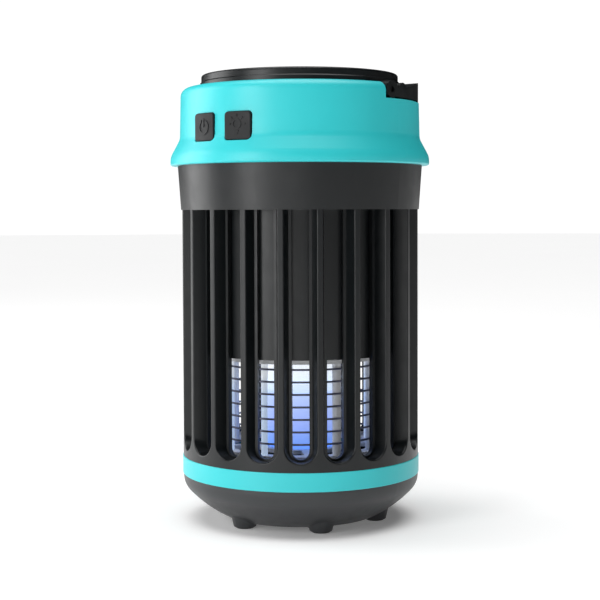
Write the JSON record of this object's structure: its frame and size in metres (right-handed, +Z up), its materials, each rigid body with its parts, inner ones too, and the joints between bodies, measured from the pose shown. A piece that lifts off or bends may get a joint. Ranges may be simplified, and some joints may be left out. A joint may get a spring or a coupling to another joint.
{
  "type": "electric bug zapper",
  "caption": "Portable lantern-style insect killer: ribbed slotted cage round a UV lamp and shock grid, collar with two keys, folding bail and pull-off tray.",
  "frame": {"origin": "centre of the plane that the six feet stand on", "axes": "+Z up through the lantern head, -Y towards the two buttons, X along the bail's hinge axis"},
  "size_m": [0.09, 0.09, 0.154],
  "materials": {
    "teal_plastic": "smooth satin-gloss moulded plastic",
    "black_plastic": "satin black moulded plastic",
    "black_tray_plastic": "fine-textured black moulded plastic",
    "button_rubber": "matt black soft-touch key",
    "foot_rubber": "matt black rubber",
    "seal_rubber": "matt seal rubber",
    "frosted_lens": "frosted translucent polycarbonate",
    "white_plastic": "white moulded plastic",
    "uv_diffuser": "glowing translucent violet-blue diffuser",
    "reflector_white": "bright white reflector",
    "board_green": "solder-masked circuit board",
    "component_dark": "moulded component body",
    "transformer_tape": "yellow tape over ferrite",
    "capacitor_red": "dipped film capacitor",
    "led_white": "phosphor LED package",
    "led_uv": "lit violet LED package",
    "cell_wrap": "heat-shrunk cell sleeve",
    "steel": "bright steel",
    "grid_wire": "drawn stainless wire",
    "screw_steel": "zinc-plated steel"
  },
  "bodies": {
    "housing": {"top_collar": "teal_plastic", "bottom_ring": "teal_plastic", "lamp_bezel": "black_plastic", "upper_housing": "black_plastic", "core_housing": "black_plastic", "cage": "black_plastic", "collar_seal": "seal_rubber", "lens_gasket": "seal_rubber", "lamp_lens": "frosted_lens", "lamp_reflector": "reflector_white", "lamp_led_board": "board_green", "lamp_leds": "led_white", "bail_pins": "steel", "switch_bodies": "component_dark", "button_board": "board_green", "board_screws": "screw_steel", "main_board": "board_green", "transformer": "transformer_tape", "hv_capacitor": "capacitor_red", "controller_chip": "component_dark", "battery_cell": "cell_wrap", "battery_holder": "component_dark", "battery_contacts": "steel", "usb_socket": "steel", "usb_board": "board_green", "usb_cover_pin": "steel", "body_screws": "screw_steel", "collar_screws": "screw_steel", "bezel_screws": "screw_steel", "ring_screws": "screw_steel", "grid_frame": "white_plastic", "grid_base": "white_plastic", "grid_wires_live": "grid_wire", "grid_wires_return": "grid_wire", "uv_lamp_holder": "white_plastic", "uv_tube": "uv_diffuser", "uv_led_board": "board_green", "uv_leds": "led_uv"},
    "tray": {"insect_tray": "black_tray_plastic", "tray_seal": "seal_rubber", "rubber_feet": "foot_rubber"},
    "bail": {"bail_handle": "black_plastic"},
    "power_key": {"power_button": "button_rubber", "power_plunger": "component_dark"},
    "light_key": {"light_button": "button_rubber", "light_plunger": "component_dark"},
    "usb_flap": {"usb_cover": "button_rubber"}
  },
  "joints": [
    {"name": "tray_drop", "type": "slide", "parent": "housing", "child": "tray", "axis": [0, 0, -1], "range_m": [0, 0.06]},
    {"name": "bail_swing", "type": "hinge", "parent": "housing", "child": "bail", "pos_m": [0, -0.0025, 0.1471], "axis": [1, 0, 0], "range_deg": [0, 110]},
    {"name": "power_press", "type": "slide", "parent": "housing", "child": "power_key", "axis": [0, 1, 0], "range_m": [0, 0.0008], "stiffness_N_per_m": 1500, "springref_m": -0.0006},
    {"name": "light_press", "type": "slide", "parent": "housing", "child": "light_key", "axis": [0, 1, 0], "range_m": [0, 0.0008], "stiffness_N_per_m": 1500, "springref_m": -0.0006},
    {"name": "usb_cover_swing", "type": "hinge", "parent": "housing", "child": "usb_flap", "pos_m": [0, 0.0426, 0.1322], "axis": [-1, 0, 0], "range_deg": [0, 110]}
  ]
}
